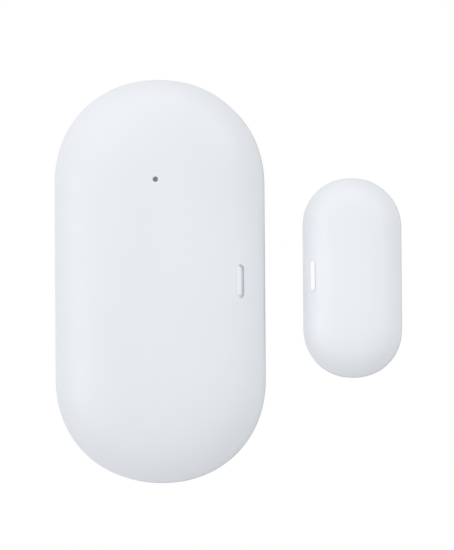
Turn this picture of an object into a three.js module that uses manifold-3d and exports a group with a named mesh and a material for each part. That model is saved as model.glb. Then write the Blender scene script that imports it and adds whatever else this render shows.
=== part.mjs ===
// Door contact sensor: a pill-shaped sensor unit and the smaller magnet unit beside it.
// Millimetres, +Z up. Both units hang on a wall: the wall is the plane y = 0, the fronts
// face -Y, and the magnet unit is on the +X side. The origin is the middle of the back of
// the sensor unit's adhesive pad.
//
// Every piece is drawn lying on its back, x to the right, y along the unit and z away from
// the wall, and the two unit groups stand them up.

import * as THREE from "three";
import { mergeVertices } from "three/addons/utils/BufferGeometryUtils.js";
import Module from "manifold-3d";

const wasm = await Module();
wasm.setup();

// ---------------------------------------------------------------- driving dimensions

const GAP = 0.3; // clearance between pieces that touch on the real thing
const CAP_POWER = 2.1; // roundness of the pill's ends: 2 is a half circle, more is squarer
const SIDES = 24; // facets round a turned piece

const PAD = { thick: 0.9 };
const BACK = { flange: 0.7, floorTop: 2.4, recessTop: 1.2 };
const COVER_EDGE = 2.3; // height of the covers' rear edge off the wall
const FLANGE_TOP = COVER_EDGE - GAP;

const BODY = {
  width: 36, length: 69.8, depth: 15.5, wall: 1.6,
  sideTop: 9.4, domePower: 3, domeEdge: 0.975, capSteps: 22,
  pad: { width: 20, length: 50 },
  flangeLip: 0.1, rimThick: 1.2, rimTop: 6.5,
};
const MAGNET = {
  width: 16.9, length: 34.4, depth: 11.5, wall: 1.4,
  sideTop: 7, domePower: 3, domeEdge: 0.97, capSteps: 18,
  pad: { width: 10, length: 26 },
  flangeLip: 0.1, rimThick: 1, rimTop: 5.4,
};
const MAGNET_CENTRE = { x: 33.4, y: 0.4 }; // from the middle of the sensor unit

const MARK = { width: 1.2, length: 5.8 }; // raised bar that shows where the reed switch is
const BODY_MARK = { x: 14.75, y: -0.4, top: 13.5, root: 12 };
const MAGNET_MARK = { x: -6.45, y: 0.1, top: 10.55, root: 9 };

const PINHOLE = { y: 17.25, radius: 0.45, skin: 0.95 };
const PIPE = { radius: 1.2, bore: 1.5, collar: 2.3, collarFoot: 10.5 };

const BOARD = { inset: 3.6, bottom: 4.3, top: 5.3 };
const ON_BOARD = BOARD.top + GAP;

const CELL = { x: 0, y: -17, radius: 12.25, thick: 5, bottom: 6.3 };
const HOLDER = { inner: 12.65, outer: 13.8, window: 7, floor: 0.4, height: 4 };
const REED = { x: 12.6, z: 7, glassRadius: 1.1, glassHalf: 6, leadHalf: 9.2 };
const TAMPER = { x: 8, y: 13, size: 6, height: 3.4, stem: 1.5, foot: 7.6, top: 10.4 };
const PAIRING = { x: 6.5, y: 3.5, size: 4.5, height: 1.6, stem: 1.1, foot: 6.4, top: 8 };
const SCREW = { head: 1.9, headHigh: 1.3, shank: 0.9, tip: 2.9, bore: 1.2 };
const SCREWS = { upper: { x: 8.5, y: 23 }, lower: { x: -10, y: 3 } };
const COIL = { radius: 1.9, wire: 0.35, turns: 7, pitch: 1.3, y: 26.6, z: 8.1 };
const BAR = { width: 5, length: 22, thick: 4 };

// ---------------------------------------------------------------- finishes

function finish(color, roughness, metalness = 0) {
  return new THREE.MeshStandardMaterial({ color, roughness, metalness });
}

const FINISH = {
  shell: finish(0xecedf2, 0.42),
  base: finish(0xdfe1e6, 0.5),
  foam: finish(0xf4f4f2, 0.9),
  board: finish(0x1d5a3a, 0.45),
  blackPlastic: finish(0x1b1c1f, 0.5),
  darkResin: finish(0x232427, 0.4),
  steel: finish(0xb9bcc0, 0.3, 1),
  nickel: finish(0xc9c6bd, 0.25, 1),
  brass: finish(0xc7a462, 0.3, 1),
  magnet: finish(0x8f9296, 0.35, 1),
  glass: finish(0xcfe6dc, 0.08),
  clear: finish(0xe4e8ea, 0.2),
  led: finish(0xf0ead2, 0.4),
  button: finish(0xf2f2f0, 0.45),
};

// ---------------------------------------------------------------- solids

// Turns a closed geometry into a solid that can be joined and cut.
function solidOf(geometry) {
  const bare = new THREE.BufferGeometry();
  bare.setAttribute("position", geometry.getAttribute("position"));
  bare.setIndex(geometry.getIndex());
  const merged = mergeVertices(bare, 1e-4);
  return new wasm.Manifold(new wasm.Mesh({
    numProp: 3,
    vertProperties: new Float32Array(merged.getAttribute("position").array),
    triVerts: new Uint32Array(merged.getIndex().array),
  }));
}

function geometryOf(solid) {
  const { vertProperties, triVerts } = solid.getMesh();
  const geometry = new THREE.BufferGeometry();
  geometry.setAttribute("position", new THREE.BufferAttribute(vertProperties, 3));
  geometry.setIndex(new THREE.BufferAttribute(triVerts, 1));
  geometry.computeVertexNormals();
  return geometry;
}

const join = (...solids) => solids.reduce((whole, next) => whole.add(next));
const cut = (whole, ...tools) => tools.reduce((left, tool) => left.subtract(tool), whole);

function block(width, length, bottom, top, x = 0, y = 0) {
  const geometry = new THREE.BoxGeometry(width, length, top - bottom);
  return solidOf(geometry.translate(x, y, (bottom + top) / 2));
}

function rod(radius, bottom, top, x = 0, y = 0, sides = SIDES) {
  const geometry = new THREE.CylinderGeometry(radius, radius, top - bottom, sides);
  return solidOf(geometry.rotateX(Math.PI / 2).translate(x, y, (bottom + top) / 2));
}

// A turned piece on an upright axis: profile points are [radius, height] pairs.
function turned(profile, x = 0, y = 0, sides = SIDES) {
  const points = profile.map(([radius, height]) => new THREE.Vector2(radius, height));
  const geometry = new THREE.LatheGeometry(points, sides);
  return solidOf(geometry.rotateX(Math.PI / 2).translate(x, y, 0));
}

// ---------------------------------------------------------------- pill shapes

// Outline of a pill: straight sides and two superellipse ends, anticlockwise.
function pillOutline(width, length, capSteps) {
  const cap = width / 2;
  const straight = length / 2 - cap;
  const bend = (value) => Math.sign(value) * Math.abs(value) ** (2 / CAP_POWER);
  const points = [];
  for (const side of [1, -1]) {
    for (let step = 0; step <= capSteps; step += 1) {
      const angle = (Math.PI * step) / capSteps;
      const along = straight + cap * bend(Math.max(0, Math.sin(angle)));
      points.push(new THREE.Vector2(side * cap * bend(Math.cos(angle)), side * along));
    }
  }
  return points;
}

// A closed solid through a stack of outlines with equal point counts. Each ring is
// [outline, height], and flat fans close the first and the last.
function lofted(rings) {
  const count = rings[0][0].length;
  const positions = [];
  const faces = [];
  for (const [outline, height] of rings) {
    for (const point of outline) positions.push(point.x, point.y, height);
  }
  const first = rings.length * count;
  const last = first + 1;
  positions.push(0, 0, rings[0][1], 0, 0, rings.at(-1)[1]);
  for (let i = 0; i < count; i += 1) {
    const next = (i + 1) % count;
    for (let ring = 0; ring + 1 < rings.length; ring += 1) {
      const low = ring * count;
      const high = low + count;
      faces.push(low + i, low + next, high + next, low + i, high + next, high + i);
    }
    const top = (rings.length - 1) * count;
    faces.push(first, next, i, last, top + i, top + next);
  }
  const geometry = new THREE.BufferGeometry();
  geometry.setAttribute("position", new THREE.Float32BufferAttribute(positions, 3));
  geometry.setIndex(faces);
  return solidOf(geometry);
}

// A flat pill plate, the unit's outline drawn in by inset all round.
function pillPlate(unit, inset, bottom, top) {
  const outline = pillOutline(unit.width - 2 * inset, unit.length - 2 * inset, unit.capSteps);
  return lofted([[outline, bottom], [outline, top]]);
}

// The crown of a cover: how high its surface is at a given inset from its side wall. It
// leaves the side at a soft crease, rolls over a broad shoulder and ends almost flat.
function crownHeight(half, sideTop, depth, unit, inset) {
  const fall = (inward) => {
    const u = ((half - inward) * unit.domeEdge) / half;
    return Math.sqrt(1 - u ** unit.domePower);
  };
  const scale = (depth - sideTop) / (1 - fall(0));
  return depth - scale * (1 - fall(inset));
}

// Rings over a crown, from the side wall inwards, as far as its flat middle.
function crownRings(unit, inset, sideTop, depth) {
  const half = unit.width / 2 - inset;
  const rings = [];
  for (const share of [0, 0.02, 0.06, 0.12, 0.2, 0.3, 0.42, 0.58, 0.78]) {
    const inward = share * half;
    const width = unit.width - 2 * (inset + inward);
    const length = unit.length - 2 * (inset + inward);
    const height = crownHeight(half, sideTop, depth, unit, inward);
    rings.push([pillOutline(width, length, unit.capSteps), height]);
  }
  return rings;
}

// A hollow cover, open at the back, with a small chamfer round its rear edge.
function coverShell(unit) {
  const chamfer = 0.25;
  const innerTop = unit.depth - unit.wall;
  const innerSide = unit.sideTop - 0.8 * unit.wall;
  const outer = crownRings(unit, 0, unit.sideTop, unit.depth);
  const inner = crownRings(unit, unit.wall, innerSide, innerTop);
  const edge = pillOutline(unit.width - 2 * chamfer, unit.length - 2 * chamfer, unit.capSteps);
  return lofted([
    ...inner.reverse(),
    [inner.at(-1)[0], COVER_EDGE],
    [edge, COVER_EDGE],
    [outer[0][0], COVER_EDGE + chamfer],
    ...outer,
  ]);
}

// The places of the snap nibs: some on the straight sides and one at each end. The lower
// end's nib is the hook that its cover swings on, and end nibs stand back by endRelief.
function snapPlaces(unit, inset, reach, spread, sideLength, endLength, endRelief) {
  const x = unit.width / 2 - inset - reach / 2;
  const y = unit.length / 2 - inset - reach / 2 - endRelief;
  const places = [];
  for (const side of [1, -1]) {
    places.push({ x: 0, y: side * y, width: endLength, length: reach });
    for (const end of spread) {
      places.push({ x: side * x, y: end, width: reach, length: sideLength });
    }
  }
  return places;
}

const SNAP = { bottom: 4.2, top: 5, slack: 0.3 };

function snapNibs(unit, spread) {
  const reach = 0.4;
  return snapPlaces(unit, unit.wall + 0.05, reach, spread, 3.4, 1.6, 0.15)
    .map(({ x, y, width, length }) => block(width, length, SNAP.bottom, SNAP.top, x, y));
}

function snapPockets(unit, spread) {
  const { bottom, top, slack } = SNAP;
  const reach = 0.8;
  return snapPlaces(unit, unit.wall - 0.6, reach, spread, 3.4 + 2 * slack, 1.6 + 2 * slack, 0)
    .map(({ x, y, width, length }) => block(width, length, bottom - slack, top + slack, x, y));
}

// A base: a flange that shows as a thin lip round the cover, a floor, a rim with its snap
// nibs, and a shallow recess at the back for the adhesive pad.
function baseShell(unit, spread) {
  const rimOut = unit.wall + GAP;
  const rimIn = rimOut + unit.rimThick;
  const recess = pillOutline(
    unit.pad.width + 4 * GAP, unit.pad.length + 4 * GAP, unit.capSteps);
  const body = join(
    pillPlate(unit, -unit.flangeLip, BACK.flange, FLANGE_TOP),
    pillPlate(unit, rimOut, FLANGE_TOP - 0.2, unit.rimTop),
    ...snapNibs(unit, spread),
  );
  return cut(
    body,
    pillPlate(unit, rimIn, BACK.floorTop, unit.rimTop + 1),
    lofted([[recess, BACK.flange - 1], [recess, BACK.recessTop]]),
  );
}

// A raised pill-shaped bar on a cover.
function alignmentMark({ x, y, top, root }) {
  const outline = pillOutline(MARK.width, MARK.length, 8);
  const bar = lofted([[outline, root], [outline, top]]);
  return bar.translate([x, y, 0]);
}

// ---------------------------------------------------------------- sensor unit casing

const BODY_SNAPS = [-13, 13];
const MAGNET_SNAPS = [0];

function frontCover() {
  const skinUnder = BODY.depth - PINHOLE.skin;
  const collarTop = BODY.depth - BODY.wall + 0.3;
  const postFoot = TAMPER.top + GAP;
  const pryNotch = block(8, 1.2, COVER_EDGE - 1, COVER_EDGE + 0.8, 0, BODY.length / 2);
  const whole = join(
    coverShell(BODY),
    alignmentMark(BODY_MARK),
    rod(PIPE.collar, PIPE.collarFoot, collarTop, 0, PINHOLE.y),
    rod(TAMPER.stem, postFoot, collarTop, TAMPER.x, TAMPER.y),
  );
  return cut(
    whole,
    rod(PIPE.bore, PIPE.collarFoot - 1, skinUnder, 0, PINHOLE.y),
    rod(PINHOLE.radius, skinUnder - 1, BODY.depth + 1, 0, PINHOLE.y, 16),
    pryNotch,
    ...snapPockets(BODY, BODY_SNAPS),
  );
}

function lightPipe() {
  const foot = ON_BOARD + 0.6 + GAP;
  const top = BODY.depth - PINHOLE.skin - GAP;
  return rod(PIPE.radius, foot, top, 0, PINHOLE.y);
}

function rearHousing() {
  const boardSeat = BOARD.bottom - GAP;
  const posts = [[11.5, 10], [11.5, -10], [-11.5, -10], [-8, 24]]
    .map(([x, y]) => block(2.4, 2.4, BACK.floorTop - 0.2, boardSeat, x, y));
  const bosses = Object.values(SCREWS)
    .map(({ x, y }) => rod(2.6, BACK.floorTop - 0.2, boardSeat, x, y));
  const bores = Object.values(SCREWS)
    .map(({ x, y }) => rod(SCREW.bore, SCREW.tip - GAP, boardSeat + 1, x, y));
  return cut(join(baseShell(BODY, BODY_SNAPS), ...posts, ...bosses), ...bores);
}

function padOf(unit) {
  const outline = pillOutline(unit.pad.width, unit.pad.length, unit.capSteps);
  return lofted([[outline, 0], [outline, PAD.thick]]);
}

// ---------------------------------------------------------------- circuit board

function circuitBoard() {
  const holes = Object.values(SCREWS)
    .map(({ x, y }) => rod(SCREW.bore + 0.1, BOARD.bottom - 1, BOARD.top + 1, x, y));
  return cut(pillPlate(BODY, BOARD.inset, BOARD.bottom, BOARD.top), ...holes);
}

function boardScrew({ x, y }) {
  const under = ON_BOARD;
  const top = under + SCREW.headHigh;
  const head = turned([
    [0, under], [SCREW.head, under], [SCREW.head, under + 0.6],
    [0.72 * SCREW.head, top], [0, top],
  ], x, y);
  const shank = rod(SCREW.shank, SCREW.tip, under + 0.2, x, y, 16);
  const slots = [[2.4, 0.5], [0.5, 2.4]]
    .map(([width, length]) => block(width, length, top - 0.6, top + 1, x, y));
  return cut(join(head, shank), ...slots);
}

const radioBoard = () => block(10.2, 15.5, ON_BOARD, ON_BOARD + 0.8, -7, 15.5);
const radioShield = () => block(9, 10.5, ON_BOARD + 1.1, ON_BOARD + 3.1, -7, 14);
const statusLed = () => block(1.6, 0.9, ON_BOARD, ON_BOARD + 0.6, 0, PINHOLE.y);
const controllerChip = () => block(5, 5, ON_BOARD, ON_BOARD + 0.9, -2.5, 2.6);
const crystalCan = () => block(3.2, 2.4, ON_BOARD, ON_BOARD + 0.8, 2.3, 2.8);

function storageCapacitor() {
  const foot = block(4.2, 4.2, ON_BOARD, ON_BOARD + 0.8, 2.1, 8.4);
  return join(foot, rod(1.9, ON_BOARD + 0.6, ON_BOARD + 5, 2.1, 8.4));
}

// A wire antenna: one straight leg, then a close row of turns along x.
function coilAntenna() {
  const { radius, wire, turns, pitch, y, z } = COIL;
  const perTurn = 12;
  const start = (-turns * pitch) / 2;
  const points = [
    new THREE.Vector3(start - 0.2, y - radius, ON_BOARD),
    new THREE.Vector3(start - 0.1, y - radius, (ON_BOARD + z) / 2),
  ];
  for (let step = 0; step <= turns * perTurn; step += 1) {
    const angle = Math.PI + (2 * Math.PI * step) / perTurn;
    points.push(new THREE.Vector3(
      start + (pitch * step) / perTurn,
      y + radius * Math.cos(angle),
      z - radius * Math.sin(angle),
    ));
  }
  const section = new THREE.Shape();
  section.absarc(0, 0, wire, 0, 2 * Math.PI);
  const geometry = new THREE.ExtrudeGeometry(section, {
    steps: points.length - 1,
    curveSegments: 7,
    extrudePath: new THREE.CatmullRomCurve3(points),
  });
  return solidOf(geometry);
}

// ---------------------------------------------------------------- reed switch

function reedGlass() {
  const { glassRadius: radius, glassHalf: half } = REED;
  const neck = 0.45;
  const bore = 0.78;
  const points = [
    [neck, -half], [radius - 0.2, -half], [radius, 0.5 - half], [radius, half - 0.5],
    [radius - 0.2, half], [neck, half], [neck, half - 1], [bore, half - 1.5],
    [bore, 1.5 - half], [neck, 1 - half], [neck, -half],
  ].map(([x, y]) => new THREE.Vector2(x, y));
  const geometry = new THREE.LatheGeometry(points, 16);
  return solidOf(geometry.translate(REED.x, 0, REED.z));
}

// One end's wire: a leg up from the board and a stem into the glass.
function reedLead(end, innerReach) {
  const wire = 0.4;
  const { x, z, leadHalf } = REED;
  const middle = (end * (leadHalf + innerReach)) / 2;
  return join(
    block(wire, leadHalf - innerReach, z - wire / 2, z + wire / 2, x, middle),
    block(wire, wire, ON_BOARD, z, x, end * (leadHalf - wire / 2)),
  );
}

const BLADE = { thick: 0.2, width: 0.9, tip: 0.8, root: 4.7, apart: 0.06 };

function reedBlade(side, end) {
  const { thick, width, tip, root, apart } = BLADE;
  const x = REED.x + (side * (thick + apart)) / 2;
  const low = REED.z - width / 2;
  return block(thick, root + tip, low, low + width, x, (end * (root - tip)) / 2);
}

const reedBladeFixed = () => join(reedLead(-1, BLADE.root - 0.3), reedBlade(1, -1));
const reedLeadUpper = () => reedLead(1, BLADE.root + GAP);
const reedBladeMoving = () => reedBlade(-1, 1);

// ---------------------------------------------------------------- switches

function switchBody({ x, y, size, height, stem, foot }, travel) {
  const top = ON_BOARD + height;
  return cut(
    block(size, size, ON_BOARD, top, x, y),
    rod(stem + GAP, foot - travel - 0.1, top + 1, x, y),
  );
}

function switchStem({ x, y, stem, foot, top }) {
  return turned([[0, foot], [stem, foot], [stem, top - 0.3], [stem - 0.3, top], [0, top]], x, y);
}

const tamperSwitchBody = () => switchBody(TAMPER, 0);
const tamperPlunger = () => switchStem(TAMPER);
const pairingSwitchBody = () => switchBody(PAIRING, 0.25);
const pairingButton = () => switchStem(PAIRING);

// ---------------------------------------------------------------- battery

function coinCell() {
  const { x, y, radius, thick, bottom } = CELL;
  const step = 0.7;
  return turned([
    [0, bottom], [radius - 1.2, bottom], [radius - 1.2, bottom + 0.3],
    [radius - 0.3, bottom + step], [radius, bottom + step + 0.3],
    [radius, bottom + thick - 0.3], [radius - 0.3, bottom + thick], [0, bottom + thick],
  ], x, y, 40);
}

function batteryHolder() {
  const { inner, outer, window, floor, height } = HOLDER;
  const { x, y } = CELL;
  const top = ON_BOARD + height;
  const stripSlot = block(6.8, 1.6, ON_BOARD - 1, top + 1, x, y + outer - 0.4);
  const fingerGap = block(9, 5, ON_BOARD + floor, top + 1, x - 10, y + 8.5);
  return cut(
    rod(outer, ON_BOARD, top, x, y, 40),
    rod(inner, ON_BOARD + floor, top + 1, x, y, 40),
    rod(window, ON_BOARD - 1, ON_BOARD + 1, x, y, 40),
    stripSlot,
    fingerGap,
  );
}

// Bent strips: a side view drawn as [y, z] points, as wide as given along x.
function bentStrip(points, width, x, y) {
  const shape = new THREE.Shape(points.map(([along, up]) => new THREE.Vector2(along, up)));
  const geometry = new THREE.ExtrudeGeometry(shape, { depth: width, bevelEnabled: false });
  geometry.translate(0, 0, -width / 2);
  const turn = new THREE.Matrix4().makeBasis(
    new THREE.Vector3(0, 1, 0), new THREE.Vector3(0, 0, 1), new THREE.Vector3(1, 0, 0));
  return solidOf(geometry.applyMatrix4(turn).translate(x, y, 0));
}

function batteryContactPlus() {
  const sheet = 0.2;
  const leg = 12.9;
  const foot = ON_BOARD;
  const arm = CELL.bottom + CELL.thick + GAP;
  return bentStrip([
    [leg + 1.8, foot], [leg + 1.8, foot + sheet], [leg + sheet, foot + sheet],
    [leg + sheet, arm + sheet], [3, arm + sheet], [3, arm], [leg, arm], [leg, foot],
  ], 5, CELL.x, CELL.y);
}

function batteryContactMinus() {
  const foot = ON_BOARD;
  return bentStrip([
    [-5.5, foot], [5.5, foot], [5.5, foot + 0.2], [2.5, foot + 0.2],
    [1, foot + 0.4], [-1, foot + 0.4], [-2.5, foot + 0.2], [-5.5, foot + 0.2],
  ], 4, CELL.x, CELL.y);
}

// ---------------------------------------------------------------- magnet unit

function magnetCover() {
  const pressFoot = BACK.floorTop + GAP + BAR.thick + GAP;
  const pressTop = MAGNET.depth - MAGNET.wall + 0.2;
  const ribs = [-6, 6].map((y) => block(4, 1.2, pressFoot, pressTop, 0, y));
  return cut(
    join(coverShell(MAGNET), alignmentMark(MAGNET_MARK), ...ribs),
    ...snapPockets(MAGNET, MAGNET_SNAPS),
  );
}

function magnetBase() {
  const wall = 0.8;
  const low = BACK.floorTop - 0.2;
  const high = BACK.floorTop + 2.4;
  const sideways = BAR.width / 2 + GAP + wall / 2;
  const endways = BAR.length / 2 + GAP + wall / 2;
  const ribs = [];
  for (const side of [1, -1]) {
    ribs.push(block(4, wall, low, high, 0, side * endways));
    for (const y of [-7, 7]) ribs.push(block(wall, 3, low, high, side * sideways, y));
  }
  return join(baseShell(MAGNET, MAGNET_SNAPS), ...ribs);
}

function barMagnet() {
  const bottom = BACK.floorTop + GAP;
  return block(BAR.width, BAR.length, bottom, bottom + BAR.thick);
}

// ---------------------------------------------------------------- assembly

function piece(name, solid, material) {
  const mesh = new THREE.Mesh(geometryOf(solid), material);
  mesh.name = name;
  return mesh;
}

const sensorUnit = new THREE.Group();
sensorUnit.add(
  piece("body_adhesive_pad", padOf(BODY), FINISH.foam),
  piece("rear_housing", rearHousing(), FINISH.base),
  piece("front_cover", frontCover(), FINISH.shell),
  piece("light_pipe", lightPipe(), FINISH.clear),
  piece("circuit_board", circuitBoard(), FINISH.board),
  piece("radio_board", radioBoard(), FINISH.board),
  piece("radio_shield", radioShield(), FINISH.steel),
  piece("coil_antenna", coilAntenna(), FINISH.brass),
  piece("status_led", statusLed(), FINISH.led),
  piece("controller_chip", controllerChip(), FINISH.darkResin),
  piece("crystal_can", crystalCan(), FINISH.steel),
  piece("storage_capacitor", storageCapacitor(), FINISH.steel),
  piece("reed_glass", reedGlass(), FINISH.glass),
  piece("reed_blade_fixed", reedBladeFixed(), FINISH.nickel),
  piece("reed_lead_upper", reedLeadUpper(), FINISH.nickel),
  piece("reed_blade_moving", reedBladeMoving(), FINISH.nickel),
  piece("tamper_switch_body", tamperSwitchBody(), FINISH.blackPlastic),
  piece("tamper_plunger", tamperPlunger(), FINISH.button),
  piece("pairing_switch_body", pairingSwitchBody(), FINISH.steel),
  piece("pairing_button", pairingButton(), FINISH.blackPlastic),
  piece("battery_holder", batteryHolder(), FINISH.blackPlastic),
  piece("coin_cell", coinCell(), FINISH.steel),
  piece("battery_contact_plus", batteryContactPlus(), FINISH.nickel),
  piece("battery_contact_minus", batteryContactMinus(), FINISH.nickel),
  piece("board_screw_upper", boardScrew(SCREWS.upper), FINISH.steel),
  piece("board_screw_lower", boardScrew(SCREWS.lower), FINISH.steel),
);

const magnetUnit = new THREE.Group();
magnetUnit.position.set(MAGNET_CENTRE.x, MAGNET_CENTRE.y, 0);
magnetUnit.add(
  piece("magnet_adhesive_pad", padOf(MAGNET), FINISH.foam),
  piece("magnet_base", magnetBase(), FINISH.base),
  piece("magnet_cover", magnetCover(), FINISH.shell),
  piece("bar_magnet", barMagnet(), FINISH.magnet),
);

const contactSensor = new THREE.Group();
contactSensor.rotation.x = Math.PI / 2; // stands both units up, fronts towards -Y
contactSensor.add(sensorUnit, magnetUnit);

export default contactSensor;
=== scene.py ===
# Looks of the door contact sensor: a pill-shaped sensor unit and its smaller magnet unit.
#
# Every new piece is worked out in millimetres in its own unit's frame: x to the right, y up
# along the unit and z away from the wall. add_piece() stands it up in the frame, in metres,
# where the wall is the plane y = 0 and the fronts face -Y.

import bpy
import numpy as np
from mathutils import Matrix


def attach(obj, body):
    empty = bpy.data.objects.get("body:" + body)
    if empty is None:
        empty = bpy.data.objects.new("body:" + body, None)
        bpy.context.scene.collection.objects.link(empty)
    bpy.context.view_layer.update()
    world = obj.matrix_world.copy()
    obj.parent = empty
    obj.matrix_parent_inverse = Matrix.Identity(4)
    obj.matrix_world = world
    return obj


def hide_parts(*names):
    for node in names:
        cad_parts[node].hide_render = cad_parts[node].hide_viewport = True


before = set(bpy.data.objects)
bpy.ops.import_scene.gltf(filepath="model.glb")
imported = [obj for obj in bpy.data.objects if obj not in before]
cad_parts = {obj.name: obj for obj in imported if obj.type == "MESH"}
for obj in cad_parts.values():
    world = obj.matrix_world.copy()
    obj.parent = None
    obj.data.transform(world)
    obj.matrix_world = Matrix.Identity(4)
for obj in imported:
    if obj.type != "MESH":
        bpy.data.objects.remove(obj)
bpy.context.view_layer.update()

SENSOR = dict(
    centre=(0.0, 0.0), width=36.0, length=69.8, depth=15.5, wall=1.6, side_top=9.4,
    power=3.0, edge=0.975, lip=0.1, rim=1.2, rim_top=6.5, pad=(20.0, 50.0),
    snaps=(-13.0, 13.0), mark=(14.27, -0.4, 13.46), mark_gap=(0.40, 0.5),
)
MAGNET = dict(
    centre=(33.4, 0.4), width=16.9, length=34.4, depth=11.5, wall=1.4, side_top=7.0,
    power=3.0, edge=0.97, lip=0.1, rim=1.0, rim_top=5.4, pad=(10.0, 26.0), snaps=(0.0,),
    mark=(-6.55, 0.1, 10.48), mark_gap=(0.18, 0.04),
)
CAP_POWER = 2.1  # 2 is a half circle, more is squarer
COVER_EDGE = 2.5  # height of the covers' rear edge off the wall
FLANGE = (0.7, 1.7)  # bottom and top of the bases' flange
FLOOR_TOP = 2.4
RECESS_TOP = 1.2
PAD_THICK = 0.9
SNAP = (4.2, 5.0)  # bottom and top of the snap nibs
MARK = (0.75, 5.0)  # width and length of the raised bars
PINHOLE = dict(centre=(0.0, 17.25), radius=0.45, skin=0.95)
PIPE = dict(radius=1.2, bore=1.5, collar=2.3, foot=10.5)  # light pipe and its collar
BOARD_TOP = 5.3
ON_BOARD = 5.6  # where the parts on the board stand
THIN = 0.02  # radius left open at a turned part's middle
CELL_CENTRE = (0.0, -17.0)
REED = dict(x=12.6, z=7.0, glass=1.1, half=6.0, lead_half=9.2)
SCREWS = dict(upper=(8.5, 23.0), lower=(-10.0, 3.0))


# -------- camera, floor and light

def in_scene(name, data):
    """A new object that shows the data, linked into the scene."""
    made = bpy.data.objects.new(name, data)
    bpy.context.scene.collection.objects.link(made)
    return made


def make_camera():
    """The eye is a metre in front of the wall, to the right of the units and below them."""
    eye = (0.07015, -1.0, -0.04426)
    pan, tilt, roll = 0.05872, 0.04545, -0.00667
    data = bpy.data.cameras.new("front_camera")
    data.sensor_fit = "HORIZONTAL"
    data.sensor_width = 36.0
    data.lens = 454.66
    camera = in_scene("front_camera", data)
    turn = (Matrix.Rotation(pan, 4, "Z") @ Matrix.Rotation(np.pi / 2 + tilt, 4, "X")
            @ Matrix.Rotation(roll, 4, "Z"))
    camera.matrix_world = Matrix.Translation(eye) @ turn
    bpy.context.scene.camera = camera


def make_world(ambient, lean):
    """A white room: pure white where the camera sees it, and soft light everywhere else,
    ambient plus the part of lean that points each way."""
    world = bpy.data.worlds.new("studio")
    world.use_nodes = True
    bpy.context.scene.world = world
    nodes, links = world.node_tree.nodes, world.node_tree.links
    nodes.clear()
    seen, cast = nodes.new("ShaderNodeBackground"), nodes.new("ShaderNodeBackground")
    seen.inputs["Color"].default_value = (1, 1, 1, 1)
    cast.inputs["Color"].default_value = (0.985, 0.99, 1, 1)
    way = nodes.new("ShaderNodeTexCoord").outputs["Generated"]
    along, strength = nodes.new("ShaderNodeVectorMath"), nodes.new("ShaderNodeMath")
    along.operation = "DOT_PRODUCT"
    along.inputs[1].default_value = lean
    strength.inputs[1].default_value = ambient
    links.new(way, along.inputs[0])
    links.new(along.outputs["Value"], strength.inputs[0])
    links.new(strength.outputs[0], cast.inputs["Strength"])
    path, mix = nodes.new("ShaderNodeLightPath"), nodes.new("ShaderNodeMixShader")
    links.new(path.outputs["Is Camera Ray"], mix.inputs["Fac"])
    links.new(cast.outputs[0], mix.inputs[1])
    links.new(seen.outputs[0], mix.inputs[2])
    links.new(mix.outputs[0], nodes.new("ShaderNodeOutputWorld").inputs["Surface"])


def make_light(name, kind, place, energy, target):
    """A light at a place that looks at a target."""
    data = bpy.data.lights.new(name, kind)
    data.energy = energy
    light = in_scene(name, data)
    light.visible_camera = False
    place, target = np.array(place), np.array(target)
    back = (place - target) / np.linalg.norm(place - target)
    across = np.cross((0, 0, 1), back)
    across /= np.linalg.norm(across)
    turn = np.eye(4)
    turn[:3] = np.column_stack([across, np.cross(back, across), back, place])
    light.matrix_world = Matrix(turn.tolist())
    return data


def make_softbox(name, place, size, energy):
    """A square soft light that looks at the units."""
    data = make_light(name, "AREA", place, energy, (0.01, -0.01, 0.0))
    data.shape = "SQUARE"
    data.size = size


def make_beam(name, place, energy, target, angle):
    """A narrow beam with a soft edge."""
    data = make_light(name, "SPOT", place, energy, target)
    data.spot_size = angle
    data.spot_blend = 1.0
    data.shadow_soft_size = 0.02


SOFTBOXES = dict(  # place, width and power of each square softbox
    left=((-0.95, -0.5, 0.05), 0.5, 0.3),
    low_left=((-0.8, -0.6, -0.12), 0.3, 1.2),
    top=((0.0, -0.5, 0.95), 0.6, 1.1),
    upper_right=((0.7, -0.6, 0.6), 0.6, 1.75),
    near=((-0.075, -0.12, 0.09), 0.09, 0.018),
)
BEAMS = dict(  # place, power, target and angle of narrow beams that fill the magnet unit
    fill_left=((-0.36, -0.60, 0.03), 1.1, (0.033, -0.008, 0.0004), 0.075),
    fill_right=((0.60, -0.45, 0.05), 1.8, (0.041, -0.008, 0.0004), 0.065),
)
AMBIENT, LEAN = 0.80, (-0.09, 0.0, -0.09)


def make_studio():
    make_world(AMBIENT, LEAN)
    for name, (place, size, energy) in SOFTBOXES.items():
        make_softbox(name, place, size, energy)
    for name, settings in BEAMS.items():
        make_beam(name, *settings)
    floor = bpy.data.meshes.new("floor")
    reach, level = 3.0, -0.25
    corners = [(x * reach, y * reach, level) for x, y in ((-1, -1), (1, -1), (1, 1), (-1, 1))]
    floor.from_pydata(corners, [], [(0, 1, 2, 3)])
    floor.materials.append(FINISHES["floor_paint"])
    in_scene("floor", floor)
    bpy.context.scene.view_settings.view_transform = "Standard"


# -------- finishes

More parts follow.
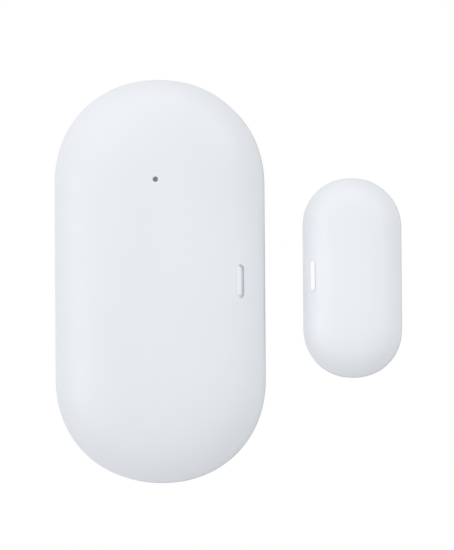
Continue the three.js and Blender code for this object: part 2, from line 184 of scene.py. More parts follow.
class Nodes:
    """One material's node tree, with its shader and its object coordinates."""

    def __init__(self, name):
        self.material = bpy.data.materials.new(name)
        self.material.use_nodes = True
        self.tree = self.material.node_tree
        self.shader = self.tree.nodes["Principled BSDF"]
        self.place = self.tree.nodes.new("ShaderNodeTexCoord").outputs["Object"]

    def join(self, value, socket):
        """Puts a value, or what another socket gives, into a socket."""
        if isinstance(value, bpy.types.NodeSocket):
            self.tree.links.new(value, socket)
        else:
            socket.default_value = value

    def add(self, kind, inputs=(), **settings):
        """A node of that kind. Inputs are values or the sockets that feed them."""
        node = self.tree.nodes.new(kind)
        for key, value in settings.items():
            setattr(node, key, value)
        for key, value in dict(inputs).items():
            self.join(value, node.inputs[key])
        return node

    def feed(self, name, value):
        self.join(value, self.shader.inputs[name])

    def noise(self, scale, detail=2.0, place=None):
        inputs = {"Vector": place or self.place, "Scale": scale, "Detail": detail}
        return self.add("ShaderNodeTexNoise", inputs).outputs["Fac"]

    def stretched(self, across, along, up):
        """Object coordinates scaled by axis, for grain that runs one way."""
        inputs = {"Vector": self.place, "Scale": (across, along, up)}
        return self.add("ShaderNodeMapping", inputs).outputs["Vector"]

    def between(self, share, low, high, start=0.0, end=1.0):
        """From low to high as share goes from start to end. Colours or plain numbers."""
        span = {"Value": share, "From Min": start, "From Max": end}
        if not isinstance(low, tuple):
            span.update({"To Min": low, "To Max": high})
            return self.add("ShaderNodeMapRange", span).outputs[0]
        part = self.add("ShaderNodeMapRange", span).outputs[0]
        ends = {0: part, 6: (*low, 1), 7: (*high, 1)}
        return self.add("ShaderNodeMix", ends, data_type="RGBA").outputs[2]

    def bump(self, height, distance, strength=1.0):
        """Relief of that many metres between height 0 and 1."""
        node = self.add("ShaderNodeBump", {
            "Height": height, "Distance": distance, "Strength": strength})
        self.feed("Normal", node.outputs["Normal"])


def plastic(name, dark, light, rough, grain, relief, coat=0.0):
    """Moulded plastic: fine spark-eroded grain, slow colour drift and uneven gloss."""
    made = Nodes(name)
    drift = made.noise(90, 3)
    made.feed("Base Color", made.between(drift, dark, light, 0.3, 0.7))
    made.feed("Roughness", made.between(made.noise(260, 2), *rough, 0.3, 0.7))
    made.feed("Coat Weight", coat)
    made.bump(made.noise(grain, 4), relief)
    return made.material


def metal(name, dark, light, rough, brush=(1, 1, 1), grain=900, relief=4e-6):
    """Sheet or plated metal: brushed or rolled grain and slightly clouded colour."""
    made = Nodes(name)
    brushed = made.noise(grain, 3, made.stretched(*brush))
    made.feed("Base Color", made.between(made.noise(350, 2), dark, light, 0.3, 0.7))
    made.feed("Metallic", 1.0)
    made.feed("Roughness", made.between(brushed, *rough, 0.3, 0.7))
    made.bump(brushed, relief)
    return made.material


def clear(name, tint, rough, index, through=1.0):
    """Glass or clear plastic, with faint flow lines; milky where less light goes through."""
    made = Nodes(name)
    made.feed("Base Color", made.between(made.noise(300), tint, (1, 1, 1), 0.3, 0.7))
    made.feed("Transmission Weight", through)
    made.feed("Roughness", rough)
    made.feed("IOR", index)
    made.bump(made.noise(500, 1), 2e-6)
    return made.material


def foam_tape(name):
    """Closed-cell foam: rounded cells seen as pits, a little grey in their shade."""
    made = Nodes(name)
    cells = made.add("ShaderNodeTexVoronoi", {"Vector": made.place, "Scale": 2400.0}).outputs[0]
    coarse = made.noise(500, 3)
    made.feed("Base Color", made.between(cells, (0.78, 0.78, 0.76), (0.9, 0.9, 0.88), 0.1, 0.6))
    made.feed("Roughness", made.between(coarse, 0.8, 0.95))
    made.feed("Sheen Weight", 0.15)
    both = made.add("ShaderNodeMath", {0: cells, 1: coarse}, operation="ADD").outputs[0]
    made.bump(both, 9e-5)
    return made.material


def solder_mask(name, dark, light):
    """Green solder mask: the glass cloth's weave shows faintly through it."""
    made = Nodes(name)
    threads = []
    for direction in ("X", "Z"):
        wave = made.add("ShaderNodeTexWave", {"Vector": made.place, "Scale": 320.0,
                                              "Distortion": 0.6, "Detail": 1.0},
                        bands_direction=direction)
        threads.append(wave.outputs["Fac"])
    weave = made.add("ShaderNodeMath", {0: threads[0], 1: threads[1]},
                     operation="MULTIPLY").outputs[0]
    made.feed("Base Color", made.between(weave, dark, light, 0.1, 0.9))
    made.feed("Roughness", made.between(made.noise(700, 2), 0.28, 0.42))
    made.bump(weave, 4e-6)
    return made.material


SHELL_TONES = (0.795, 0.815, 0.845), (0.805, 0.825, 0.855)
RECIPES = dict(  # each finish: how it is made, its tones, its gloss and its grain
    shell_white=(plastic, *SHELL_TONES, (0.36, 0.44), 5200, 3e-6),
    mark_white=(plastic, *SHELL_TONES, (0.26, 0.32), 5200, 1e-6),
    # The magnet unit's bar gets a whiter tone than the shell: a painted highlight standing in
    # for the light its left edge catches.
    mark_painted_highlight_white=(plastic, (0.925, 0.93, 0.94), (0.935, 0.94, 0.95), (0.26, 0.32), 5200, 1e-6),
    # The bases get a greyer tone than the covers: painted shade that darkens the groove line
    # between each cover's rear edge and its base.
    base_white=(plastic, (0.69, 0.705, 0.73), (0.72, 0.735, 0.76), (0.44, 0.54), 4200, 6e-6),
    foam_tape=(foam_tape,),
    mask_green=(solder_mask, (0.010, 0.100, 0.046), (0.014, 0.122, 0.058)),
    track_green=(solder_mask, (0.028, 0.185, 0.080), (0.036, 0.215, 0.098)),
    black_plastic=(plastic, (0.012, 0.012, 0.014), (0.020, 0.020, 0.023), (0.38, 0.52),
                   3600, 8e-6),
    dark_resin=(plastic, (0.018, 0.018, 0.020), (0.030, 0.030, 0.032), (0.45, 0.58), 6500, 6e-6),
    button_white=(plastic, (0.80, 0.80, 0.78), (0.86, 0.86, 0.84), (0.35, 0.45), 4000, 4e-6),
    tinned_steel=(metal, (0.60, 0.61, 0.62), (0.72, 0.73, 0.74), (0.26, 0.40), (1, 0.2, 1)),
    can_aluminium=(metal, (0.70, 0.71, 0.72), (0.80, 0.80, 0.81), (0.22, 0.34), (1, 3, 1), 1200),
    cell_steel=(metal, (0.62, 0.62, 0.61), (0.74, 0.74, 0.73), (0.20, 0.32), (0.15, 1, 1), 1400),
    spring_nickel=(metal, (0.66, 0.62, 0.54), (0.76, 0.72, 0.64), (0.20, 0.32), (1, 1, 0.2)),
    antenna_wire=(metal, (0.74, 0.52, 0.26), (0.84, 0.62, 0.34), (0.18, 0.30)),
    magnet_plating=(metal, (0.42, 0.43, 0.45), (0.55, 0.56, 0.58), (0.16, 0.34), (1, 0.4, 1),
                    600, 8e-6),
    solder=(metal, (0.66, 0.67, 0.68), (0.82, 0.82, 0.83), (0.20, 0.45)),
    ceramic=(plastic, (0.40, 0.29, 0.20), (0.50, 0.38, 0.27), (0.4, 0.55), 5000, 8e-6),
    reed_tube_glass=(clear, (0.90, 0.97, 0.94), 0.02, 1.5),
    clear_acrylic=(clear, (0.97, 0.98, 1.0), 0.4, 1.49, 0.15),
    led_lens=(plastic, (0.78, 0.70, 0.40), (0.88, 0.82, 0.55), (0.2, 0.3), 3000, 3e-6, 0.5),
    floor_paint=(plastic, (0.84, 0.845, 0.85), (0.85, 0.855, 0.86), (0.7, 0.75), 400, 2e-6),
)
FINISHES = {name: make(name, *settings) for name, (make, *settings) in RECIPES.items()}
CREASE = np.radians(38)  # edges sharper than this aren't shaded smooth


# -------- meshes

def ring_faces(rows, columns, joined=False):
    """Quads between neighbouring rings of a grid. Rings run anticlockwise seen from above
    and are stacked so that the faces point outwards; joined rows also close on themselves."""
    row = np.arange(rows if joined else rows - 1)[:, None]
    column = np.arange(columns)[None, :]
    after, above = (column + 1) % columns, (row + 1) % rows
    corners = (row * columns + column, row * columns + after,
               above * columns + after, above * columns + column)
    return np.stack(corners, -1).reshape(-1, 4)


def closed(rings, joined=False):
    """(points, faces) of a solid through a stack of rings with shape (rings, points, 3). The
    first and last ring are closed by fans to their middle, unless the stack is joined."""
    rings = np.asarray(rings, float)
    rows, columns = rings.shape[:2]
    points = rings.reshape(-1, 3)
    faces = ring_faces(rows, columns, joined).tolist()
    if joined:
        return points, faces
    column = np.arange(columns)
    after = (column + 1) % columns
    first, last = rows * columns, rows * columns + 1
    top = (rows - 1) * columns
    faces += np.stack([np.full(columns, first), after, column], -1).tolist()
    faces += np.stack([np.full(columns, last), top + column, top + after], -1).tolist()
    return np.concatenate([points, [rings[0].mean(0), rings[-1].mean(0)]]), faces


def moved(part, x=0.0, y=0.0):
    """A part shifted along the wall."""
    points, faces = part
    return points + np.array([x, y, 0.0]), faces


def together(*parts):
    """Several solids as one mesh."""
    points, faces, count = [], [], 0
    for part_points, part_faces in parts:
        points.append(part_points)
        faces += [[index + count for index in face] for face in part_faces]
        count += len(part_points)
    return np.concatenate(points), faces


def add_piece(name, part, finish, replaces=(), body="base", unit=SENSOR):
    """Stands a part up in the frame as one mesh object: (x, y, z) becomes (x, -z, y)."""
    points, faces = part
    shifted = points + np.array([*unit["centre"], 0.0])
    placed = np.stack([shifted[:, 0], -shifted[:, 2], shifted[:, 1]], -1) / 1000
    mesh = bpy.data.meshes.new(name)
    mesh.from_pydata(placed.tolist(), [], faces)
    mesh.materials.append(FINISHES[finish])
    mesh.shade_smooth()
    mesh.set_sharp_from_angle(angle=CREASE)
    piece = in_scene(name, mesh)
    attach(piece, body)
    if replaces:
        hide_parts(*replaces)
    return piece


# -------- outlines and small solids

def pill(width, length, cap_steps=56, side_steps=44, side=None):
    """Superellipse caps, |x|^n + |y|^n = half width^n, on two straight sides, in even steps
    or through the places named by side."""
    half = width / 2
    straight = length / 2 - half
    angle = np.linspace(0, np.pi, cap_steps + 1)

    def bend(value):
        return np.sign(value) * np.abs(value) ** (2 / CAP_POWER)

    cap = np.stack([half * bend(np.cos(angle)),
                    straight + half * bend(np.sin(angle).clip(0))], -1)
    down = np.linspace(straight, -straight, side_steps + 1)[1:-1] if side is None else side
    left = np.stack([np.full(len(down), -half), down], -1)
    return np.concatenate([cap, left, -cap, -left])


def unit_pill(unit, inset, side=None):
    """The unit's outline drawn in by inset all round."""
    return pill(unit["width"] - 2 * inset, unit["length"] - 2 * inset, side=side)


def at_height(outline, height):
    """A flat outline, or one with a height for each point, as a ring of 3-D points."""
    return np.column_stack([outline, np.broadcast_to(height, len(outline))])


def gathered(outline, centre, radius, share):
    """An outline drawn in towards a circle: each point moves that share of the straight way
    to the circle's point in its own direction."""
    spoke = outline - np.array(centre)
    circle = centre + radius * spoke / np.linalg.norm(spoke, axis=1)[:, None]
    return outline * (1 - share) + circle * share


def rounded_rectangle(width, length, corner, steps=6):
    """Four quarter circles round the corners, anticlockwise."""
    quarter = np.linspace(0, np.pi / 2, steps)
    angle = np.concatenate([quarter + turn * np.pi / 2 for turn in range(4)])
    sides = np.repeat(np.array([[1, 1], [-1, 1], [-1, -1], [1, -1]]), steps, axis=0)
    reach = np.array([width / 2 - corner, length / 2 - corner])
    return sides * reach + corner * np.stack([np.cos(angle), np.sin(angle)], -1)


def block(width, length, bottom, top, corner=0.3, edge=0.12, x=0.0, y=0.0, draft=0.0):
    """A block with round corners. Its edges are quarter circles of radius edge, and it
    narrows by draft on each side from bottom to top."""
    turn = np.linspace(0, np.pi / 2, 4)
    rising, falling = edge * (1 - np.cos(turn)), edge * (1 - np.sin(turn))
    insets = np.concatenate([falling, draft + rising])
    heights = np.concatenate([bottom + rising, top - falling])
    middle = 0.3 * min(width, length)
    support = min(edge + draft + 0.06, 0.9 * middle)
    insets = np.concatenate([[middle, support], insets, [support, middle]])
    heights = np.concatenate([[bottom, bottom], heights, [top, top]])
    rings = [at_height(rounded_rectangle(width - 2 * i, length - 2 * i,
                                         max(corner - i, 0.02 * min(width, length))), h)
             for i, h in zip(insets, heights)]
    return moved(closed(rings), x, y)


def circle(radius, steps):
    """Even steps round a circle, anticlockwise."""
    angle = np.linspace(0, 2 * np.pi, steps, endpoint=False)
    return radius * np.stack([np.cos(angle), np.sin(angle)], -1)


def turned_rings(profile, steps=48):
    """A profile of (radius, height) rows, bottom first, carried round an upright axis."""
    ring = circle(1.0, steps)
    return np.stack([at_height(max(radius, THIN) * ring, height) for radius, height in profile])


def turned(profile, x=0.0, y=0.0, steps=48, joined=False):
    """A solid of revolution of turned_rings, set down at (x, y)."""
    return moved(closed(turned_rings(profile, steps), joined), x, y)


def rounded_profile(profile, radius, steps=4):
    """A profile with its corners cut to curves: near each corner the line follows the
    quadratic through its two neighbours' directions, at most radius away."""
    rows = np.array(profile, float)
    made = [rows[0]]
    share = np.linspace(0, 1, steps)[:, None]
    for before, corner, after in zip(rows[:-2], rows[1:-1], rows[2:]):
        into, out = before - corner, after - corner
        reach_in = min(radius, 0.45 * np.linalg.norm(into))
        reach_out = min(radius, 0.45 * np.linalg.norm(out))
        start = corner + into / np.linalg.norm(into) * reach_in
        end = corner + out / np.linalg.norm(out) * reach_out
        made.extend((1 - share) ** 2 * start + 2 * share * (1 - share) * corner
                    + share ** 2 * end)
    made.append(rows[-1])
    return np.array(made)


def swept(path, section, across):
    """A closed section carried along a path. Its first axis follows the direction across as
    nearly as the path allows and its second completes a right-handed set."""
    path = np.asarray(path, float)
    ahead = np.gradient(path, axis=0)
    ahead /= np.linalg.norm(ahead, axis=1)[:, None]
    across = np.asarray(across, float)
    side = across - ahead * (ahead @ across)[:, None]
    side /= np.linalg.norm(side, axis=1)[:, None]
    up = np.cross(ahead, side)
    section = np.asarray(section, float)
    rings = (path[:, None] + side[:, None] * section[None, :, :1]
             + up[:, None] * section[None, :, 1:])
    return closed(rings)


def wire(path, radius, across, sides=12):
    """A round wire along a path."""
    return swept(path, circle(radius, sides), across)


def strip(path, width, thick, across=(1, 0, 0)):
    """A flat strip with round edges along a path."""
    return swept(path, rounded_rectangle(width, thick, 0.45 * thick, 3), across)


# -------- covers

def inset_of(unit, x, y, margin=0.0):
    """How far inside the unit's outline, less margin, a point lies: half the width less the
    superellipse radius through the point, measured from the straight part's end."""
    half = unit["width"] / 2 - margin
    straight = (unit["length"] - unit["width"]) / 2
    along = np.maximum(0, np.abs(y) - straight)
    return half - (np.abs(x) ** CAP_POWER + along ** CAP_POWER) ** (1 / CAP_POWER)


def crown(unit, inset, margin, side_top, depth):
    """Height of a crowned face: with u the share of the way out from the middle, it falls by
    1 - sqrt(1 - (edge u)^power), scaled so that it meets the side wall at side_top."""
    half = unit["width"] / 2 - margin

    def fall(inward):
        share = ((half - inward) * unit["edge"] / half).clip(0)
        return np.sqrt(1 - share ** unit["power"])

    scale = (depth - side_top) / (1 - fall(np.zeros(1)))
    return depth - scale * (1 - fall(inset))


def crown_at(unit, points, margin=0.0, thickness=0.0):
    """Crown height over an array of (x, y) points; the inner face sits a wall deeper."""
    side_top = unit["side_top"] - (0.8 * unit["wall"] if thickness else 0)
    inset = inset_of(unit, points[:, 0], points[:, 1], margin).clip(0)
    return crown(unit, inset, margin, side_top, unit["depth"] - thickness)


def smooth_step(value, start, end):
    """3 s^2 - 2 s^3, with s going from 0 at start to 1 at end."""
    share = ((value - start) / (end - start)).clip(0, 1)
    return share * share * (3 - 2 * share)


def near(value, centre, half, soft):
    """1 within half of the centre, falling to 0 over soft."""
    return 1 - smooth_step(np.abs(value - centre), half, half + soft)


def snap_relief(unit, outline, height, reach, size):
    """How far a snap's nib or pocket stands out from the wall, point by point: places on the
    straight sides, and one at each end."""
    x, y = outline[:, 0], outline[:, 1]
    amount = near(x, 0, size / 4, 0.15) * (np.abs(y) > unit["length"] / 3)
    for place in unit["snaps"]:
        amount = np.maximum(amount, near(y, place, size / 2, 0.15))
    middle = (SNAP[0] + SNAP[1]) / 2
    half = (SNAP[1] - SNAP[0]) / 2 + (0.3 if reach > 0.4 else 0)
    return reach * amount * near(np.array(height, float), middle, half - 0.1, 0.12)


def pushed(outline, amount):
    """An outline's points moved outwards, along their direction from the pill's spine."""
    straight = np.abs(outline[:, 1]).max() - np.abs(outline[:, 0]).max()
    spine = np.column_stack([np.zeros(len(outline)), outline[:, 1].clip(-straight, straight)])
    out = outline - spine
    return outline + out / np.linalg.norm(out, axis=1)[:, None] * np.reshape(amount, (-1, 1))


def mark_gap(unit, points):
    """How deep the fine gap beside the raised bar is at each point. It follows the bar's
    right side and curls round its ends, where the distance from the bar's outline is
    between 0 and the gap's width."""
    wide, deep = unit["mark_gap"]
    x, y = points[:, 0] - unit["mark"][0], points[:, 1] - unit["mark"][1]
    half, straight = MARK[0] / 2, (MARK[1] - MARK[0]) / 2
    apart = np.hypot(x, np.maximum(0, np.abs(y) - straight)) - half
    return deep * near(apart, 0.0, wide - 0.06, 0.08) * smooth_step(x, -0.1, 0.2)


def cover_shell(unit, hole=None, notch=0.0):
    """A hollow cover as one closed run of rings: up the outer wall, over the crown to the
    middle, through the pinhole and its collar if there is one, out under the crown, down the
    inner wall and round the rear edge. Rings and side steps are finer by the raised bar."""
    wall, side_top, depth = unit["wall"], unit["side_top"], unit["depth"]
    rings = []
    straight = (unit["length"] - unit["width"]) / 2
    places = np.concatenate([np.linspace(2.3, 3.7, 18), np.linspace(0, 2.2, 5)[1:],
                             np.linspace(3.9, straight, 16)[:-1]])
    places = np.sort(np.concatenate([-places, [0.0], places]))[::-1]

    def drawn(inset):
        return unit_pill(unit, inset, side=places)

    def add(outline, height):
        rings.append(at_height(outline, height))

    def add_crown(outline, *inside):  # inside: margin and thickness of the inner face
        add(outline, crown_at(unit, outline, *inside))

    def lifted(outline, height):
        lift = notch * near(outline[:, 0], 0, 3.8, 0.4) * (outline[:, 1] > 0)
        return height + lift

    # outer wall, with a small round at the rear edge and a soft crease at the crown
    for inset, height in ((0.22, 0.0), (0.08, 0.06), (0.0, 0.22)):
        outline = drawn(inset)
        add(outline, lifted(outline, COVER_EDGE + height))
    for height in (4.2, 6.0, side_top - 0.6, side_top - 0.25):
        add(drawn(0.0), height)
    add(drawn(0.015), side_top - 0.05)
    half = unit["width"] / 2
    by_mark = half - abs(unit["mark"][0]) + np.linspace(-0.95, 0.95, 28)
    inmost, crowding = 0.62, 1.25
    insets = half * np.linspace(0.022, inmost, 30) ** crowding
    insets = insets[(insets < by_mark[0] - 0.05) | (insets > by_mark[-1] + 0.05)]
    for inset in np.sort(np.concatenate([[0.06, 0.14, 0.26], insets, by_mark])):
        outline = drawn(inset)
        add(outline, crown(unit, np.array([inset]), 0, side_top, depth)
            - mark_gap(unit, outline))
    last = drawn(half * inmost ** crowding)
    inner_last = drawn(wall + (half - wall) * 0.5)

    if hole:
        centre, radius = np.array(hole["centre"]), hole["radius"]
        for share in (0.15, 0.3, 0.45, 0.6, 0.73, 0.84, 0.92, 0.97, 1.0):
            add_crown(gathered(last, centre, radius + 0.14, share))
        under = depth - hole["skin"]
        bore, collar, foot = PIPE["bore"], PIPE["collar"], PIPE["foot"]
        for r, h in ((radius + 0.06, depth - 0.02), (radius, depth - 0.1), (radius, under),
                     (bore - 0.1, under), (bore, under - 0.1), (bore, foot + 0.1),
                     (bore + 0.1, foot), (collar - 0.12, foot), (collar, foot + 0.12)):
            add(gathered(last, centre, r, 1.0), h)
        for grow in (0.0, 0.1, 0.35):
            outline = gathered(last, centre, collar + grow, 1.0)
            add(outline, crown_at(unit, outline, wall, wall) - 0.35 * (1 - grow / 0.35) ** 2)
        inner_gather = collar + 0.35
    else:
        centre = np.zeros(2)
        for share in (0.2, 0.4, 0.6, 0.8, 0.95):
            add_crown(gathered(last, centre, 0.4, share))
        outer_count = len(rings)
        add_crown(gathered(inner_last, centre, 0.4, 0.95), wall, wall)
        inner_gather = 0.4

    for share in (0.8, 0.6, 0.4, 0.2, 0.0):
        add_crown(gathered(inner_last, centre, inner_gather, share), wall, wall)
    inner_half = half - wall
    for share in (0.38, 0.28, 0.2, 0.13, 0.08, 0.04, 0.015, 0.0):
        add_crown(drawn(wall + inner_half * share), wall, wall)
    inner = drawn(wall)
    for height in (7.0, 5.5, 5.3, 5.2, 4.0, 3.9, 3.7):
        add(pushed(inner, snap_relief(unit, inner, height, 0.5, 4.0)), height)
    add(inner, lifted(inner, COVER_EDGE + 0.15))
    outline = drawn(wall - 0.12)
    add(outline, lifted(outline, COVER_EDGE))

    if hole:
        return closed(rings, joined=True)
    ordered = rings[outer_count:] + rings[:outer_count]
    return closed(ordered)


def raised_mark(unit, root):
    """A pill-shaped bar with a flat top whose edge follows a quarter circle."""
    (x, y, top), (width, length) = unit["mark"], MARK
    round_over = 0.2
    rows = [(0.0, root)] + [(round_over * (1 - np.cos(a)), top - round_over * (1 - np.sin(a)))
                            for a in np.linspace(0, np.pi / 2, 7)]
    rings = [at_height(pill(width - 2 * inset, length - 2 * inset, 20, 6), height)
             for inset, height in rows]
    return moved(closed(rings), x, y)


def make_covers():
    """Both covers and their bars. Behind the front cover are a turned post over the tamper
    stem and the light pipe, a pin whose radius grows near its foot and shrinks at its tip."""
    post_top = SENSOR["depth"] - SENSOR["wall"] + 0.3
    post = turned(rounded_profile([(THIN, 10.7), (1.5, 10.7), (1.5, post_top), (THIN, post_top)],
                                  0.25), 8.0, 13.0, 32)
    add_piece("sensor_cover", together(cover_shell(SENSOR, PINHOLE, notch=0.8), post),
              "shell_white", ["front_cover"], "cover")
    add_piece("sensor_mark", raised_mark(SENSOR, 12.0), "mark_white", body="cover")
    ribs = [block(4, 1.2, 7.0, MAGNET["depth"] - MAGNET["wall"] + 0.2, 0.2, 0.15, y=y)
            for y in (-6, 6)]
    add_piece("magnet_unit_cover", together(cover_shell(MAGNET), *ribs), "shell_white",
              ["magnet_cover"], "magnet_lid", MAGNET)
    # The bar's whiter finish is a painted highlight.
    add_piece("magnet_unit_mark", raised_mark(MAGNET, 9.0), "mark_painted_highlight_white", body="magnet_lid",
              unit=MAGNET)
    pipe_top = SENSOR["depth"] - PINHOLE["skin"] - 0.3
    radius = PIPE["radius"]
    pipe = rounded_profile([(THIN, 6.5), (1.05, 6.5), (radius, 7.2), (radius, pipe_top - 0.25),
                            (0.9, pipe_top), (THIN, pipe_top)], 0.2)
    add_piece("pipe_of_light", turned(pipe, *PINHOLE["centre"]), "clear_acrylic", ["light_pipe"],
              "cover")


# -------- bases and foam pads

def base_shell(unit):
    """A base as one stack of rings, from the middle of its back outwards, round the flange's
    lip, up the rim's outside with its snap nibs, over the rim and in across the floor."""
    rim_out = unit["wall"] + 0.3
    rim_in = rim_out + unit["rim"]
    rim_top = unit["rim_top"]
    pad_width, pad_length = unit["pad"]
    recess = pill(pad_width + 1.2, pad_length + 1.2)
    low, high = FLANGE
    lip_round = 0.45

    def across(outline, height, shares):
        return [at_height(gathered(outline, np.zeros(2), 0.5, share), height)
                for share in shares]

    def stacked(rows):
        return [at_height(unit_pill(unit, inset), height) for inset, height in rows]

    rings = across(recess, RECESS_TOP, (0.95, 0.6, 0.3))
    rings += [at_height(recess * grow, height) for grow, height in (
        (0.995, RECESS_TOP), (1.0, RECESS_TOP - 0.1), (1.0, low + 0.1), (1.005, low))]
    rings += stacked([(lip_round * (1 - np.cos(angle)) - unit["lip"],
                       (low + high) / 2 + (high - low) / 2 * np.sin(angle))
                      for angle in np.linspace(-np.pi / 2, np.pi / 2, 11)])
    rings += stacked([(rim_out - 0.2, high)])
    outer = unit_pill(unit, rim_out)
    for height in (high + 0.2, 4.0, 4.18, 4.3, 4.6, 4.9, 5.02, 5.2, rim_top - 0.3):
        rings.append(at_height(
            pushed(outer, snap_relief(unit, outer, height, 0.4, 3.4)), height))
    rings += stacked([(rim_out + 0.25, rim_top), (rim_in - 0.12, rim_top),
                      (rim_in, rim_top - 0.12), (rim_in, FLOOR_TOP + 0.4),
                      (rim_in + 0.1, FLOOR_TOP + 0.1), (rim_in + 0.4, FLOOR_TOP)])
    return closed(rings + across(unit_pill(unit, rim_in + 0.4), FLOOR_TOP, (0.3, 0.6, 0.95)))


def make_bases():
    """Both bases, with square posts, turned screw bosses and upright ribs on their floors."""
    seat = 4.0
    posts = [block(2.4, 2.4, FLOOR_TOP - 0.2, seat, 0.3, 0.15, x, y, 0.06)
             for x, y in ((11.5, 10), (11.5, -10), (-11.5, -10), (-8, 24))]
    boss = [(1.2, 2.6), (2.45, 2.2), (2.6, 2.5), (2.5, seat - 0.15), (2.35, seat), (1.35, seat),
            (1.2, seat - 0.15)]
    bosses = [turned(boss, x, y, 40, joined=True) for x, y in SCREWS.values()]
    stiffeners = [block(0.9, length, FLOOR_TOP - 0.2, 3.3, 0.2, 0.15, x, y)
                  for x, y, length in ((-4.5, -17, 30), (4.5, -17, 30), (0, 16, 22))]
    # The bases' grey finish is painted shade for the groove under the covers' edges.
    add_piece("sensor_base", together(base_shell(SENSOR), *posts, *bosses, *stiffeners),
              "base_white", ["rear_housing"])

    ribs = []
    for side in (1, -1):
        ribs.append(block(4, 0.8, FLOOR_TOP - 0.2, 4.8, 0.2, 0.15, 0, side * 11.7))
        for y in (-7, 7):
            ribs.append(block(0.8, 3, FLOOR_TOP - 0.2, 4.8, 0.2, 0.15, side * 3.2, y))
    add_piece("magnet_unit_base", together(base_shell(MAGNET), *ribs), "base_white",
              ["magnet_base"], "magnet_unit", MAGNET)


def foam_pad(width, length):
    """A foam pad whose cut side bulges: it stands out by the cosine of its height, and its
    faces wave by a few hundredths of a millimetre."""
    share = np.linspace(-1, 1, 9)
    bulge = 0.14
    outline = pill(width - 2 * bulge, length - 2 * bulge)
    rings = []
    for part in (0.95, 0.75, 0.55, 0.38, 0.22, 0.1, 0.03):
        drawn = gathered(outline, np.zeros(2), 0.3, part)
        wave = 0.02 * (1 + np.sin(1.1 * drawn[:, 0]) * np.cos(0.8 * drawn[:, 1]))
        rings.append((drawn, wave))
    bottom = [at_height(drawn, 0.012 + wave) for drawn, wave in rings]
    sides = [at_height(pushed(outline, bulge * np.cos(s * np.pi / 2)),
                       PAD_THICK * (0.5 + 0.49 * s)) for s in share]
    top = [at_height(drawn, PAD_THICK - wave) for drawn, wave in rings[::-1]]
    return closed(bottom + sides + top)


def make_pads():
    """A foam pad behind each unit."""
    for name, unit, node, body in (
            ("sensor_foam", SENSOR, "body_adhesive_pad", "base"),
            ("magnet_foam", MAGNET, "magnet_adhesive_pad", "magnet_unit")):
        pad = add_piece(name, foam_pad(*unit["pad"]), "foam_tape", [node], body, unit)


# -------- electronics

def make_boards():
    """The main board keeps its CAD shape. The radio is a thin block under a block with round
    corners on six feet."""
    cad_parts["circuit_board"].data.materials.clear()
    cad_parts["circuit_board"].data.materials.append(FINISHES["mask_green"])
    top = ON_BOARD + 0.8
    add_piece("radio_module", block(10.2, 15.5, ON_BOARD, top, 0.25, 0.06, -7, 15.5),
              "mask_green", ["radio_board"])
    can = [block(9, 10.5, top + 0.3, top + 2.3, 0.7, 0.3, -7, 14, 0.08),
           block(3.2, 3.2, top + 2.25, top + 2.34, 0.9, 0.03, -7, 14)]
    feet = [block(1.0, 0.25, top, top + 0.8, 0.05, 0.02, -7 + x, 14 + y)
            for x in (-3, 0, 3) for y in (-5.1, 5.1)]
    add_piece("radio_can", together(*can, *feet), "tinned_steel", ["radio_shield"])


TRACKS = (  # route over the board, number of parallel tracks
    (((-2.6, 5.35), (-2.6, 6.1), (-3.7, 7.4)), 6),
    (((-5.3, 2.9), (-7.0, 2.9), (-7.9, 2.0), (-7.9, -1.9), (-9.3, -3.3), (-11.0, -3.3)), 4),
    (((-5.3, 0.7), (-6.1, 0.7), (-6.4, 0.4), (-6.4, -2.2), (-7.4, -3.2)), 2),
    (((-3.6, -0.2), (-3.6, -1.5), (-4.4, -2.3)), 4),
    (((-0.6, -0.2), (-0.6, -0.7), (0.3, -1.6), (8.7, -1.6), (10.2, -3.1), (10.2, -6.9),
      (12.4, -9.1)), 2),
    (((0.3, 1.0), (3.3, 1.0), (4.4, 2.1)), 2),
    (((0.3, 4.3), (3.0, 4.3), (4.6, 5.9), (4.6, 7.4), (5.4, 8.2)), 3),
    (((11.2, 11.0), (12.0, 10.2), (12.6, 9.5)), 1),
    (((7.6, 9.7), (7.6, 8.3), (10.4, 5.5), (10.4, 0.2), (9.0, -1.2)), 2),
    (((-1.8, 19.4), (1.0, 19.4), (2.6, 21.0)), 3),
    (((-1.8, 14.2), (1.9, 14.2), (2.9, 15.2), (2.9, 17.6), (4.3, 19.0)), 2),
    (((0.9, 17.3), (2.1, 17.3)), 1),
    (((4.9, 24.6), (6.0, 24.6), (7.2, 25.8), (9.4, 25.8), (12.4, 20.9), (12.4, 13.6),
      (11.4, 12.6)), 3),
    (((-4.6, 23.3), (-4.6, 24.4)), 1),
    (((-12.9, 19.5), (-12.9, 6.6), (-12.3, 6.0), (-12.3, 4.4)), 2),
    (((-13.2, 1.6), (-13.2, -6.6)), 2),
    (((5.5, 28.4), (2.0, 29.7), (-2.0, 29.7), (-5.5, 28.4), (-8.3, 25.9)), 2),
)
VIAS = ((-11.3, -3.3), (-7.7, -3.5), (2.9, 21.3), (4.6, 19.3), (-12.3, 4.0), (1.2, 12.3),
        (3.6, 12.6), (-1.0, 8.8), (-0.9, 10.4), (5.6, 17.9), (7.6, 17.6), (10.9, 8.4),
        (13.3, 4.6), (13.2, -1.0), (11.4, -1.6), (-11.6, -1.0), (-0.3, 22.4), (1.2, 23.6),
        (-6.8, 27.6), (6.9, 27.9), (5.2, -0.6), (7.2, -0.3), (-12.9, 21.6), (-10.4, 24.9))


def beside(route, shift):
    """A route moved sideways: each corner goes along the mean of its two sides' normals,
    lengthened so that the tracks keep their distance."""
    route = np.asarray(route, float)
    ahead = np.diff(route, axis=0)
    ahead /= np.linalg.norm(ahead, axis=1)[:, None]
    normal = np.stack([-ahead[:, 1], ahead[:, 0]], -1)
    before, after = np.vstack([normal[:1], normal]), np.vstack([normal, normal[-1:]])
    mean = before + after
    mean /= (mean * before).sum(1)[:, None]
    return route + shift * mean


